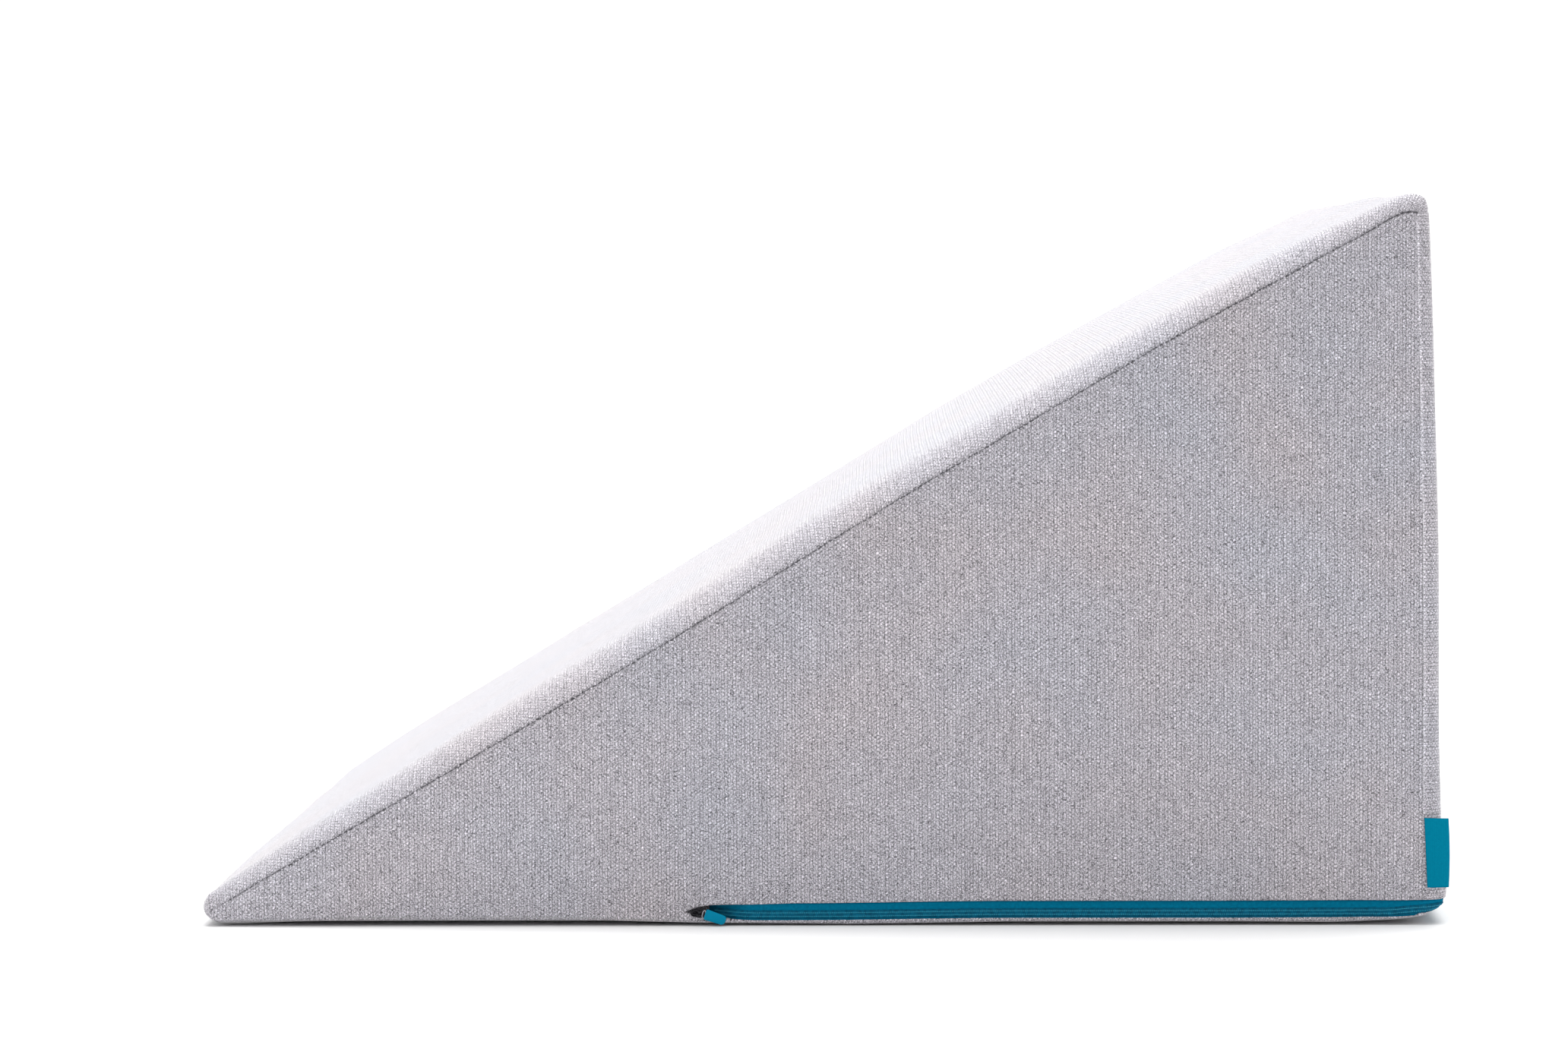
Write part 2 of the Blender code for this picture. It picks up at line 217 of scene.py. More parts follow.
def side_panel():
    """The side panel's points as (x, z), a patch between its four seams."""
    u, v = across[:, None, None], up[:, :, None]
    rails = (1 - v) * base_line[:, None, :2] + v * slope_line[:, None, :2]
    back_bow = back(up)[:, :, :2] - (1 - v) * base_line[-1, :2] - v * slope_line[-1, :2]
    nose_bow = nose(up)[:, :, :2] - (1 - v) * base_line[0, :2] - v * slope_line[0, :2]
    return rails + u**BOW_POWER * back_bow + (1 - u) ** BOW_POWER * nose_bow


# The outline runs along the base, up the back, down the slope and round the nose.
outline = np.concatenate([base_line[:-1], back_line[:-1], slope_line[:0:-1], nose_line[:0:-1]])
AROUND = len(outline)
RIDGE = COLUMNS + ROWS
seam_xz, edge_xz, reach = outline[:, :2], outline[:, 2:4], outline[:, 4]
half_width = SIDE_PLANE - reach
on_base = np.arange(AROUND) < COLUMNS
on_base_run = np.arange(AROUND) <= COLUMNS
on_back = (np.arange(AROUND) >= COLUMNS) & (np.arange(AROUND) < RIDGE)
on_slope = (np.arange(AROUND) >= RIDGE) & (np.arange(AROUND) < RIDGE + COLUMNS)

edge_steps = np.linalg.norm(np.roll(edge_xz, -1, axis=0) - edge_xz, axis=1)
edge_at = np.concatenate([[0], np.cumsum(edge_steps)])
mouth_foot = np.zeros(AROUND)
mouth_foot[COLUMNS:RIDGE] = heights[-1, :-1]

ROLL_START = radians(38)
ROLL_CLOSENESS = 1.9
SEAM_DEPTH = 2.3 * MM
SEAM_ROUND = 0.55 * MM
DRAW_IN = 0.5 * MM
DRAW_REACH = 7.0 * MM
SHORT_GATHER, SHORT_REACH, SHORT_RISE = 2.6 * MM, 3.2 * MM, 0.42 * MM
LONG_GATHER, LONG_REACH, LONG_RISE = 9.0 * MM, 10 * MM, 0.5 * MM
NEAR_SEED, FAR_SEED = 1.7, 12.4

# How far the base's near lip hangs clear of the ground, at x from the thin edge, and how sharply it
# gives way to the corners at the nose and at the back.
LIP_CLEAR = np.array([
    (0, 2.8), (195, 2.8), (240, 1.5), (276, 1.2), (313, 0.8),
    (350, 1.3), (387, 2.0), (500, 1.9), (560, 1.4), (600, 1.4),
]) * MM
LIP_ROUND = 2.4 * MM
LIP_AT_NOSE = 60
LIP_AT_BACK = 14


def wander(x, y, z, size, seed):
    """Smooth noise from -1 to 1 at each point, with lumps of this size."""
    points = np.stack(np.broadcast_arrays(x, y, z), axis=-1) / size + seed
    flat = [noise.noise(Vector(point)) for point in points.reshape(-1, 3)]
    return np.array(flat).reshape(points.shape[:-1])


def lumps(x, y, z, rows, turn=1):
    """The filling's lumps, as they show through the cover: rows of lump size, rise and seed."""
    return sum(wander(x, y, z, size, seed * turn) * rise for size, rise, seed in rows)


def crease(distance, strength):
    """How far a seam draws the cloth in: a narrow round crease in a shallow broad one."""
    narrow = SEAM_DEPTH * np.exp(-((distance / SEAM_ROUND) ** 1.2))
    broad = DRAW_IN * np.exp(-((distance / DRAW_REACH) ** 1.5))
    return strength * (narrow + broad)


def pucker(along_x, along_z, distance, seed):
    """Small uneven gathers beside a seam, worked out from the nearest point on it."""
    short = wander(along_x, 0, along_z, SHORT_GATHER, seed) * np.exp(-distance / SHORT_REACH)
    long = wander(along_x, 0, along_z, LONG_GATHER, seed + 7) * np.exp(-distance / LONG_REACH)
    return SHORT_RISE * short + LONG_RISE * long


# How strongly each stretch of a side panel's seam is drawn in: hard along the slope, easing towards
# the nose, and not at all round the nose and along the base. Up the back it stands out as a low welt.
# The same strength sets the painted shade and dark thread along each seam, and a painted highlight on
# the welt.
WELT = -0.25
NOSE_EASE = 0.3
# Widths of the painted crease shade and of the welt's painted highlight, and how strong that highlight
# is.
CREASE_WIDTH = 0.5
WELT_WIDTH = 0.9
WELT_LIGHT = 7.5
place_round = np.arange(AROUND)
seam_strength = np.where(on_slope, 1.0, 0.0)
up_back = smooth_step(place_round, RIDGE - 8, RIDGE)
welt_share = smooth_step(place_round, COLUMNS + 18, COLUMNS + 30)
seam_strength = np.where(on_back, WELT * welt_share + (1 - WELT) * up_back, seam_strength)
nose_end = RIDGE + COLUMNS
seam_strength *= 1 - NOSE_EASE * smooth_step(place_round, nose_end - 24, nose_end)


def round_the_wedge():
    """The points of the top, back, base and nose as one band, from the near seam to the far one."""
    share = (np.arange(ROLL_STEPS + 1) / ROLL_STEPS) ** ROLL_CLOSENESS
    start = np.where(on_slope, ROLL_START, 0)
    turns = start + (pi / 2 - start) * share[:, None]
    grown = (np.sin(turns) - np.sin(start)) / (1 - np.sin(start))
    inset = reach * (np.cos(start) - np.cos(turns)) / np.cos(start)
    place = seam_xz + (edge_xz - seam_xz) * grown[..., None]
    lip = inset[:, on_base]
    clear = np.interp(seam_xz[on_base, 0], LIP_CLEAR[:, 0], LIP_CLEAR[:, 1])
    fall = np.clip(1 - lip / reach[on_base], 0, 1) ** 1.2
    bend = 1 - np.sqrt(1 - np.clip(1 - lip / LIP_ROUND, 0, 1) ** 2)
    ends = np.minimum(1, np.minimum(across[:-1] * LIP_AT_NOSE, (1 - across[:-1]) * LIP_AT_BACK))
    hung = clear * fall + (seam_xz[on_base, 1] - clear) * bend
    place[:, on_base, 1] = hung * ends + place[:, on_base, 1] * (1 - ends)
    near = np.stack([place[..., 0], inset - SIDE_PLANE, place[..., 1]], axis=-1)
    y = np.linspace(-1, 1, ACROSS + 1)[1:-1, None] * half_width
    middle = np.stack(np.broadcast_arrays(edge_xz[:, 0], y, edge_xz[:, 1]), axis=-1)
    far = near[::-1] * (1, -1, 1)
    return np.concatenate([near, middle, far])


def grid_normals(points):
    """Outward normals of the band's grid."""
    along = np.roll(points, -1, axis=1) - np.roll(points, 1, axis=1)
    over = np.gradient(points, axis=0)
    normals = np.cross(over, along)
    return normals / np.maximum(np.linalg.norm(normals, axis=-1, keepdims=True), 1e-12)


def fold_depth(over):
    """Depth of the cloth at this height over the mouth's high line: it turns under in a round fold."""
    t = np.clip(over / FOLD_RADIUS, 0, 1)
    rounded = FOLD_RADIUS * (1 - np.sqrt(np.clip(1 - (1 - t) ** 2, 0, 1)))
    return np.where(over < -1e-6, MOUTH_DEPTH, rounded)


def recess(x):
    """How much deeper the zip lies where its mouth starts, at x from the thin edge."""
    return START_DEPTH * (1 - smooth_step(x, START_DEEP_TO, START_SHALLOW_FROM))


def mouth_depth(x, over_seam, opened):
    """How far the cloth lies back in the zip's mouth, at a height over the base seam."""
    low, high = mouth_at(x)
    inside = np.where(over_seam < low + 1e-7, 0, fold_depth(over_seam - high))
    return inside * (1 + recess(x) / MOUTH_DEPTH) * opened


band = round_the_wedge()
band_normals = grid_normals(band)
BAND_ROWS = len(band)
from_near = np.concatenate([
    np.zeros((1, AROUND)), np.cumsum(np.linalg.norm(np.diff(band, axis=0), axis=2), axis=0)
])
from_far = from_near[-1] - from_near
to_side_seam = np.minimum(from_near, from_far)

TOP_LUMPS = ((130 * MM, 1.3 * MM, 3.3), (45 * MM, 0.35 * MM, 8.1))
SIDE_LUMPS = ((95 * MM, 0.9 * MM, 21.0), (34 * MM, 0.3 * MM, 4.0))
TOP_CALM = 40 * MM
SIDE_CALM = 35 * MM
MOUTH_CLOSES_IN = 4 * MM
# Strength of the painted shade deep in the start of the zip's mouth.
MOUTH_SHADE = 1.15
RIDGE_CREASE = 0.22
RIDGE_PUCKER = 0.6
FLAT_PUCKER = 0.25

share_across = np.clip(np.abs(band[..., 1]) / half_width, 0, 1)
run_share = np.zeros(AROUND)
run_share[on_slope] = np.linspace(1, 0, COLUMNS)
run_share[on_back] = np.linspace(0, 1, ROWS)
crown_height = np.where(on_slope, TOP_CROWN, np.where(on_back, BACK_CROWN, 0))
crown = crown_height * np.sin(pi * run_share) * (1 - share_across**2)
slow = lumps(band[..., 0], band[..., 1], band[..., 2], TOP_LUMPS)
slow = slow * np.where(on_base_run, 0, 1) * smooth_step(to_side_seam, 0, TOP_CALM)

arc = edge_at[:-1]
apart_ridge = np.abs(arc - arc[RIDGE])
apart_nose = np.minimum(arc, edge_at[-1] - arc)
to_cross_seam = np.minimum(apart_ridge, apart_nose)
cross_crease = crease(to_cross_seam, RIDGE_CREASE)[None] * np.ones((BAND_ROWS, 1))
cross_pucker = pucker(band[..., 1], band[..., 2] * 0, to_cross_seam, 5.5) * RIDGE_PUCKER
cross_share = smooth_step(to_side_seam, 0, 4 * MM)
near_half = np.arange(BAND_ROWS) < BAND_ROWS // 2
gathers = np.where(
    near_half[:, None],
    pucker(seam_xz[:, 0], seam_xz[:, 1], to_side_seam, NEAR_SEED),
    pucker(seam_xz[:, 0], seam_xz[:, 1], to_side_seam, FAR_SEED),
)
flat_foot = np.where(on_base_run, FLAT_PUCKER, 1)
opened = 1 - smooth_step(band[..., 1], ZIP_LAST_Y - MOUTH_CLOSES_IN, ZIP_LAST_Y)
mouth = np.where(on_back, mouth_depth(LENGTH, mouth_foot[None], opened), 0)

lift = crown + slow + (gathers * seam_strength + cross_pucker * cross_share) * flat_foot
lift = lift - crease(to_side_seam, seam_strength) - cross_crease * cross_share - mouth
rest = smooth_step(band[..., 2], 0.4 * MM, 2.5 * MM)
band = band + band_normals * (lift * np.where(on_base_run, rest, 1))[..., None]


def seam_shade(distance, strength):
    """Dark sunk thread and painted crease shade at a seam, or, under 0, a painted highlight on a welt.
    """
    width = np.where(strength < 0, WELT_WIDTH, CREASE_WIDTH) * MM
    depth = np.where(strength < 0, WELT_LIGHT * strength, strength)
    return depth * np.exp(-((distance / width) ** 2))


def side_points(side):
    """A side panel's points with its crown, its drawn-in seams and, on the near side, the mouth."""
    xz = side_panel()
    flat = xz.reshape(-1, 2)
    closest = np.array([np.linalg.norm(seam_xz - point, axis=1).argmin() for point in flat])
    nearest = seam_xz[closest]
    following = seam_xz[(closest + 1) % AROUND] - nearest
    before = seam_xz[closest - 1] - nearest
    distance = np.linalg.norm(flat - nearest, axis=1)
    for step in (following, before):
        t = np.clip(((flat - nearest) * step).sum(1) / (step**2).sum(1), 0, 1)
        distance = np.minimum(distance, np.linalg.norm(flat - nearest - step * t[:, None], axis=1))
    shape = xz.shape[:2]
    distance = distance.reshape(shape)
    strength = seam_strength[closest].reshape(shape)
    swell = SIDE_CROWN * (1 - np.exp(-((distance / CROWN_REACH) ** 2)))
    seed = NEAR_SEED if side < 0 else FAR_SEED
    gathered = pucker(nearest[:, 0].reshape(shape), nearest[:, 1].reshape(shape), distance, seed)
    uneven = lumps(xz[..., 0], side, xz[..., 1], SIDE_LUMPS, side)
    proud = swell + uneven * smooth_step(distance, 0, SIDE_CALM) + gathered * strength
    proud = proud - crease(distance, strength)
    shade = seam_shade(distance, strength)
    if side < 0:
        x = base_line[:, None, 0]
        open_here = smooth_step(x, ZIP_START, ZIP_START + MOUTH_CLOSES_IN)
        share = np.minimum(1, heights[:, -1:] / SHORT_COLUMN)
        proud = proud - mouth_depth(x, heights / share, open_here)
        low, high = mouth_at(x)
        in_mouth = (heights > low * 1.01) & (heights < high)
        # Painted shade: the cloth deep in the start of the zip's mouth is darkened, down to near black.
        shade = np.maximum(shade, in_mouth * open_here * recess(x) / START_DEPTH * MOUTH_SHADE)
    made = np.stack([xz[..., 0], side * (SIDE_PLANE + proud), xz[..., 1]], axis=-1)
    return made, xz, shade


def ring_index(i, j):
    """Which outline point a side panel's border point is, or None inside the panel."""
    if j == 0 and i < COLUMNS:
        return i
    if i == COLUMNS and j < ROWS:
        return COLUMNS + j
    if j == ROWS and i > 0:
        return RIDGE + COLUMNS - i
    if i == 0:
        return (RIDGE + COLUMNS + ROWS - j) % AROUND
    return None


def sewn_cover():
    """All five panels as one closed mesh, with each panel's threads laid out in its UV map."""
    points = [band.reshape(-1, 3)]
    faces, layout = [], []
    shade = seam_shade(to_side_seam, seam_strength).ravel().tolist()
    row, n = np.indices((BAND_ROWS - 1, AROUND))
    m = (n + 1) % AROUND
    start, after = row * AROUND, (row + 1) * AROUND
    faces.append(np.stack([start + n, start + m, after + m, after + n], -1).reshape(-1, 4))
    s_low, s_high = edge_at[n], edge_at[n + 1]
    corners = [(s_low, from_near[row, n]), (s_high, from_near[row, m])]
    corners += [(s_high, from_near[row + 1, m]), (s_low, from_near[row + 1, n])]
    layout.append(np.stack([np.stack(pair, -1) for pair in corners], -2).reshape(-1, 4, 2))
    count = BAND_ROWS * AROUND
    for side, ring_start in ((-1, 0), (1, (BAND_ROWS - 1) * AROUND)):
        made, xz, side_shade = side_points(side)
        index = np.zeros(made.shape[:2], int)
        inner, inner_at = [], []
        for i in range(COLUMNS + 1):
            for j in range(ROWS + 1):
                ring = ring_index(i, j)
                if ring is None:
                    index[i, j] = count + len(inner)
                    inner.append(made[i, j])
                    inner_at.append(i * (ROWS + 1) + j)
                else:
                    index[i, j] = ring_start + ring
        points.append(np.array(inner))
        count += len(inner)
        quad = np.stack([index[:-1, :-1], index[1:, :-1], index[1:, 1:], index[:-1, 1:]], -1)
        place = np.stack([xz[:-1, :-1], xz[1:, :-1], xz[1:, 1:], xz[:-1, 1:]], -2)
        faces.append(quad.reshape(-1, 4)[:, ::-side])
        layout.append((place.reshape(-1, 4, 2) + (0, 2 + side))[:, ::-side])
        shade += side_shade.ravel()[inner_at].tolist()
    return np.concatenate(points), np.concatenate(faces), np.concatenate(layout), np.array(shade)


def object_of(name, data):
    """A new object in the scene that shows this mesh, light or camera."""
    made = bpy.data.objects.new(name, data)
    bpy.context.scene.collection.objects.link(made)
    return made


points, faces, layout, shade = sewn_cover()
points[:, 0] += NOSE_X
cover_mesh = bpy.data.meshes.new("cover")
cover_mesh.from_pydata(points.tolist(), [], faces.tolist())
cover_mesh.uv_layers.new(name="threads").data.foreach_set("uv", layout.ravel())
# The seam_shade attribute carries the painted shade along the seams and in the zip's mouth, and the
# welt's painted highlight.
cover_mesh.attributes.new("seam_shade", "FLOAT", "POINT").data.foreach_set("value", shade)
cover_mesh.shade_smooth()
cover = object_of("cover", cover_mesh)


class Wire:
    """A socket of a node tree. Expressions on wires add the Math nodes that work them out."""

    def __init__(self, tree, socket=None):
        self.tree, self.socket = tree, socket

    def node(self, kind, settings, values, out=0):
        """A node of this kind with its settings made, and values or wires put into its sockets."""
        made = self.tree.nodes.new(kind)
        for name, value in settings.items():
            if name == "stops":
                ramp = made.color_ramp
                while len(ramp.elements) < len(value):
                    ramp.elements.new(1.0)
                for stop, (place, color) in zip(ramp.elements, value):
                    stop.position, stop.color = place, color
            else:
                setattr(made, name, value)
        for key, value in values.items():
            if isinstance(key, int):
                socket = made.inputs[key]
            else:
                socket = next(s for s in made.inputs if s.name == key and s.enabled)
            if isinstance(value, Wire):
                self.tree.links.new(value.socket, socket)
            else:
                socket.default_value = value
        outputs = [socket for socket in made.outputs if socket.enabled]
        return Wire(self.tree, outputs[out])

    def out(self, which):
        """Another output of this wire's node, by its number or name."""
        return Wire(self.tree, self.socket.node.outputs[which])

    def into(self, node, name):
        """Put this wire into a node's socket."""
        self.tree.links.new(self.socket, node.inputs[name])

    def place(self):
        """Object coordinates."""
        return self.node("ShaderNodeTexCoord", {}, {}, out=3)

    def noise(self, where, scale, detail):
        """A noise texture's value at this place."""
        values = {"Vector": where, "Scale": scale, "Detail": detail, "Roughness": 0.6}
        return self.node("ShaderNodeTexNoise", {}, values)

    def bump(self, shader, height, strength, distance):
        """Bump on the shader, from a height that is worked out over the surface."""
        values = {"Strength": strength, "Distance": distance, "Height": height}
        self.node("ShaderNodeBump", {}, values).into(shader, "Normal")

    def spread(self, low, high, to_low, to_high):
        """This value with low to high stretched over to_low to to_high and held there."""
        values = {"Value": self, "From Min": low, "From Max": high, "To Min": to_low, "To Max": to_high}
        return self.node("ShaderNodeMapRange", {"clamp": True}, values)

    def math(self, operation, *others):
        """This value first, then the others, worked out by a Math node."""
        return self.node("ShaderNodeMath", {"operation": operation}, dict(enumerate((self, *others))))

    def math_after(self, operation, other):
        """The same with the other value first."""
        return self.node("ShaderNodeMath", {"operation": operation}, {0: other, 1: self})

    def __add__(self, other):
        return self.math("ADD", other)

    __radd__ = __add__

    def __sub__(self, other):
        return self.math("SUBTRACT", other)

    def __rsub__(self, other):
        return self.math_after("SUBTRACT", other)

    def __mul__(self, other):
        return self.math("MULTIPLY", other)

    __rmul__ = __mul__

    def __truediv__(self, other):
        return self.math("DIVIDE", other)

    def __rtruediv__(self, other):
        return self.math_after("DIVIDE", other)

    def __mod__(self, other):
        return self.math("FLOORED_MODULO", other)

    def __rmod__(self, other):
        return self.math_after("FLOORED_MODULO", other)


def new_material(name, roughness, **sockets):
    """A Principled material. Gives it with its tree's wire and its shader node."""
    material = bpy.data.materials.new(name)
    material.use_nodes = True
    shader = material.node_tree.nodes["Principled BSDF"]
    shader.inputs["Roughness"].default_value = roughness
    for key, value in sockets.items():
        shader.inputs[key.replace("_", " ")].default_value = value
    return material, Wire(material.node_tree), shader


WARP_PITCH = 1.35 * MM
WEFT_PITCH = 0.98 * MM
DENT_ENDS = 3
BUNCHING = 0.08
CRIMP = 0.38
THREAD_TONES = 0.28
WARP_TONE = 0.6
WEFT_TONE = 0.42
SEAM_DARK = 0.4
BRIGHTNESS = 1.35
LIGHT_FALL = 0.8
DARKEST = 0.02


def woven_material():
    """Marled grey plain weave: pale flecked warp over a darker weft, its ends bunched by the reed."""
    material, wire, shader = new_material(
        "marled_grey_weave", 0.88, Sheen_Weight=0.5, Sheen_Roughness=0.4, Specular_IOR_Level=0.1
    )
    uv = wire.node("ShaderNodeUVMap", {"uv_map": "threads"}, {})
    where = wire.place()
    sway = wire.noise(where, 60.0, 2.0)
    jitter = wire.noise(where, 900.0, 1.0)
    split = wire.node("ShaderNodeSeparateXYZ", {}, {"Vector": uv})
    u = split.out(0) + (sway - 0.5) * (0.3 * MM) + (jitter - 0.5) * (0.36 * MM)
    v = split.out(1) + (sway - 0.5) * (0.8 * MM) + (jitter - 0.5) * (0.7 * MM)
    dent = u * (2 * pi / (DENT_ENDS * WARP_PITCH))
    a, b = u / WARP_PITCH + dent.math("SINE") * BUNCHING, v / WEFT_PITCH
    end, pick = a.math("FLOOR"), b.math("FLOOR")
    off_end, off_pick = a - end - 0.5, b - pick - 0.5
    over = 1 - ((end + pick) % 2.0) * 2.0
    warp_round = 1 - off_end * off_end * 4.0
    warp = (off_pick * pi).math("COSINE") * over * CRIMP + warp_round * 0.62 + 0.12
    weft = (1 - off_pick * off_pick * 4.0) * 0.5 - (off_end * pi).math("COSINE") * over * CRIMP
    height = warp.math("MAXIMUM", weft)
    on_top = warp.math("GREATER_THAN", weft)

    crossing = wire.node("ShaderNodeCombineXYZ", {}, {"X": end, "Y": pick, "Z": 0.0})
    by_chance = wire.node("ShaderNodeTexWhiteNoise", {"noise_dimensions": "2D"}, {"Vector": crossing})
    along_end = wire.node("ShaderNodeCombineXYZ", {}, {"X": end * 7.31, "Y": b * 0.045, "Z": 0.0})
    end_tone = wire.noise(along_end, 1.0, 2.0).spread(0.3, 0.7, 0.82, 1.12)
    along_ply = wire.node("ShaderNodeCombineXYZ", {}, {"X": a * 3.4, "Y": b * 1.5, "Z": 4.0})
    ply = wire.noise(along_ply, 1.0, 3.0)
    thread_tone = by_chance * THREAD_TONES + (1 - THREAD_TONES / 2)
    # Painted shade: each warp end is darker towards its edges, where its round turns from the light.
    warp_tone = end_tone * thread_tone * (warp_round * 0.45 + 0.65) * WARP_TONE
    weft_tone = thread_tone * WEFT_TONE
    tone = warp_tone * on_top + weft_tone * (1 - on_top)
    stripes = (dent * 2.0).math("COSINE") * 0.1 + dent.math("COSINE") * 0.03 + 1
    fibre = wire.node("ShaderNodeCombineXYZ", {}, {"X": a * 3.6, "Y": b * 2.6, "Z": by_chance * 37.0})
    grain = wire.noise(fibre, 1.0, 1.0).spread(0.24, 0.76, -0.65, 2.35)
    # Painted shade along the seams and in the zip's mouth, and a painted highlight on the welt, read
    # from an attribute.
    painted_shade_and_highlight = wire.node("ShaderNodeAttribute", {"attribute_name": "seam_shade"}, {}, out=2)
    # The height term is painted shade, darker in the weave's hollows where the threads lie low.
    tone = tone * (1 - painted_shade_and_highlight * SEAM_DARK) * stripes * (height * 0.5 + 0.62)
    tone = tone * ply.spread(0.34, 0.64, 0.5, 1.28) * grain
    tone = (tone * BRIGHTNESS / (tone * LIGHT_FALL + 1)).math("MAXIMUM", DARKEST)

    tint = wire.noise(where, 14.0, 1.0)
    hue = wire.node("ShaderNodeValToRGB", {"stops": [
        (0.3, (0.965, 0.905, 0.965, 1)), (0.5, (0.94, 0.905, 0.985, 1)), (0.7, (0.915, 0.905, 1.0, 1)),
    ]}, {"Fac": tint})
    grey = wire.node("ShaderNodeCombineColor", {}, {"Red": tone, "Green": tone, "Blue": tone})
    color = wire.node(
        "ShaderNodeMix", {"data_type": "RGBA", "blend_type": "MULTIPLY"},
        {"Factor": 1.0, "A": grey, "B": hue},
    )
    color.into(shader, "Base Color")
    wire.bump(shader, height + ply * 0.4, 0.4, 0.25 * MM)
    return material


cover.data.materials.append(woven_material())
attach(cover, "root")
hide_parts("cushion")


# The zip's tapes
# Two teal twill tapes, one sewn behind the side panel's fold and one to the base panel's lip. They
# lie back in the mouth, follow the wall round the corner and end near the far side of the back.

STRAIGHT = BASE[-1][0] * MM - ZIP_START
CORNER = BACK[2][4] * MM
TURN = pi / 2 * CORNER
ZIP_LENGTH = STRAIGHT + TURN + ZIP_LAST_Y + SIDE_PLANE - CORNER - 4 * MM
TAPE_FACE = -1.4 * MM
TAPE_BACK = -2.1 * MM
TAPE_START = 11 * MM
TAPE_FULLNESS = 0.16 * MM
UPPER_TAPE = (3.3 * MM, 8.85 * MM)
LOWER_TAPE = (0.15 * MM, 3.25 * MM)
RIDGE_LONG, RIDGE_TALL = 0.62 * MM, 0.7 * MM


def zip_wall(at, height):
    """Points of the wall, before its mouth, at distances along the zip and heights over the seam."""
    at, height = np.broadcast_arrays(at, height)
    x = ZIP_START + np.minimum(at, STRAIGHT)
    rows = back(height / back.length)
    foot = np.interp(x, base_line[:, 0], base_line[:, 1])
    bowed = np.interp(x, base_line[:, 0], across) ** BOW_POWER
    turned = np.clip((at - STRAIGHT) / CORNER, 0, pi / 2)
    seam_x = x + bowed * (rows[..., 0] - base_line[-1, 0])
    seam_z = foot + height + bowed * (rows[..., 1] - base_line[-1, 1] - height)
    wall_x = seam_x + (rows[..., 2] - rows[..., 0]) * np.sin(turned) + NOSE_X
    wall_y = rows[..., 4] * (1 - np.cos(turned)) - SIDE_PLANE + np.maximum(0, at - STRAIGHT - TURN)
    wall_z = seam_z + (rows[..., 3] - rows[..., 1]) * np.sin(turned)
    return np.stack([wall_x, wall_y, wall_z], axis=-1)


def zip_outward(at, height):
    """The wall's outward directions at these places."""
    step = 0.2 * MM
    along = zip_wall(at + step, height) - zip_wall(at - step, height)
    above = zip_wall(at, height + step) - zip_wall(at, height)
    outward = np.cross(along, above)
    return outward / np.linalg.norm(outward, axis=-1, keepdims=True)


def zip_points(at, height, out):
    """Points in front of the wall by this much, set back with the mouth where the zip starts."""
    back_by = recess(ZIP_START + at)
    return zip_wall(at, height) + zip_outward(at, height) * (out - back_by)[..., None]


def zip_tape(name, between):
    """A closed tape, a little full in its middle, with its threads laid out along the zip."""
    at = np.concatenate([
        np.arange(TAPE_START, STRAIGHT, 4 * MM),
        np.linspace(STRAIGHT, STRAIGHT + TURN, 14),
        np.arange(STRAIGHT + TURN + 2 * MM, ZIP_LENGTH, 8 * MM),
        [ZIP_LENGTH],
    ])
    share = np.linspace(0, 1, 7)
    heights_up = between[0] + (between[1] - between[0]) * share
    ring_height = np.concatenate([heights_up, heights_up[::-1]])
    bulge = TAPE_FACE + TAPE_FULLNESS * np.sin(pi * share)
    ring_out = np.concatenate([bulge, np.full(7, TAPE_BACK)])
    grid = zip_points(at[:, None], ring_height[None], ring_out[None] + 0 * at[:, None])
    count, around = grid.shape[:2]
    n, m = np.indices((count - 1, around))
    after = (m + 1) % around
    start, onward = n * around, (n + 1) * around
    quads = np.stack([start + m, onward + m, onward + after, start + after], -1)
    faces = quads.reshape(-1, 4).tolist()
    faces += [list(range(around)), list(range((count - 1) * around, count * around))[::-1]]
    mesh = bpy.data.meshes.new(name)
    mesh.from_pydata(grid.reshape(-1, 3).tolist(), [], faces)
    threads = mesh.uv_layers.new(name="threads")
    for loop in mesh.loops:
        row, column = divmod(loop.vertex_index, around)
        threads.data[loop.index].uv = (at[row], ring_height[column])
    mesh.shade_smooth()
    return object_of(name, mesh)


def twill_material():
    """Teal polyester twill: fine slanting ridges."""
    material, wire, shader = new_material("teal_twill", 0.8, Specular_IOR_Level=0.02)
    uv = wire.node("ShaderNodeUVMap", {"uv_map": "threads"}, {})
    split = wire.node("ShaderNodeSeparateXYZ", {}, {"Vector": uv})
    u, v = split.out(0), split.out(1)
    ridge = ((u / RIDGE_LONG + v / RIDGE_TALL) * (2 * pi)).math("SINE") * 0.5 + 0.5
    where = wire.place()
    tone = ridge * 0.45 + wire.noise(where, 900.0, 2.0) * 0.6
    color = wire.node("ShaderNodeValToRGB", {"stops": [
        (0.2, (0.0005, 0.07, 0.145, 1)), (0.8, (0.001, 0.185, 0.31, 1)),
    ]}, {"Fac": tone})
    color.into(shader, "Base Color")
    wire.bump(shader, tone, 0.6, 0.12 * MM)
    return material


twill = twill_material()
for name, between, node in (
    ("zip_upper_tape", UPPER_TAPE, "zip_tape_upper"),
    ("zip_lower_tape", LOWER_TAPE, "zip_tape_lower"),
):
    tape = zip_tape(name, between)
    tape.data.materials.append(twill)
    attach(tape, "root")
    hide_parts(node)


# The zip's chain
# Two nylon coils that mesh, each sewn down by a row of thread that shows as a line of beads. One
# pitch of each is modelled and set out along the zip.

COIL_PITCH = 1.03 * MM
CHAIN_MIDDLE = 3.2 * MM
CHAIN_RISE = 1.3 * MM
CHAIN_START = 14.0 * MM
CHAIN_OUT = -1.35 * MM
COIL_REACH = 1.1 * MM
COIL_SPREAD = 0.82 * MM
WIRE_RADIUS = 0.27 * MM
BEAD_HEIGHT = 0.86 * MM
BEAD_RADIUS = 0.2 * MM
COIL_BULGE = 0.5 * MM
BEAD_OUT = 0.62 * MM
CHAIN_UNEVEN = 0.03


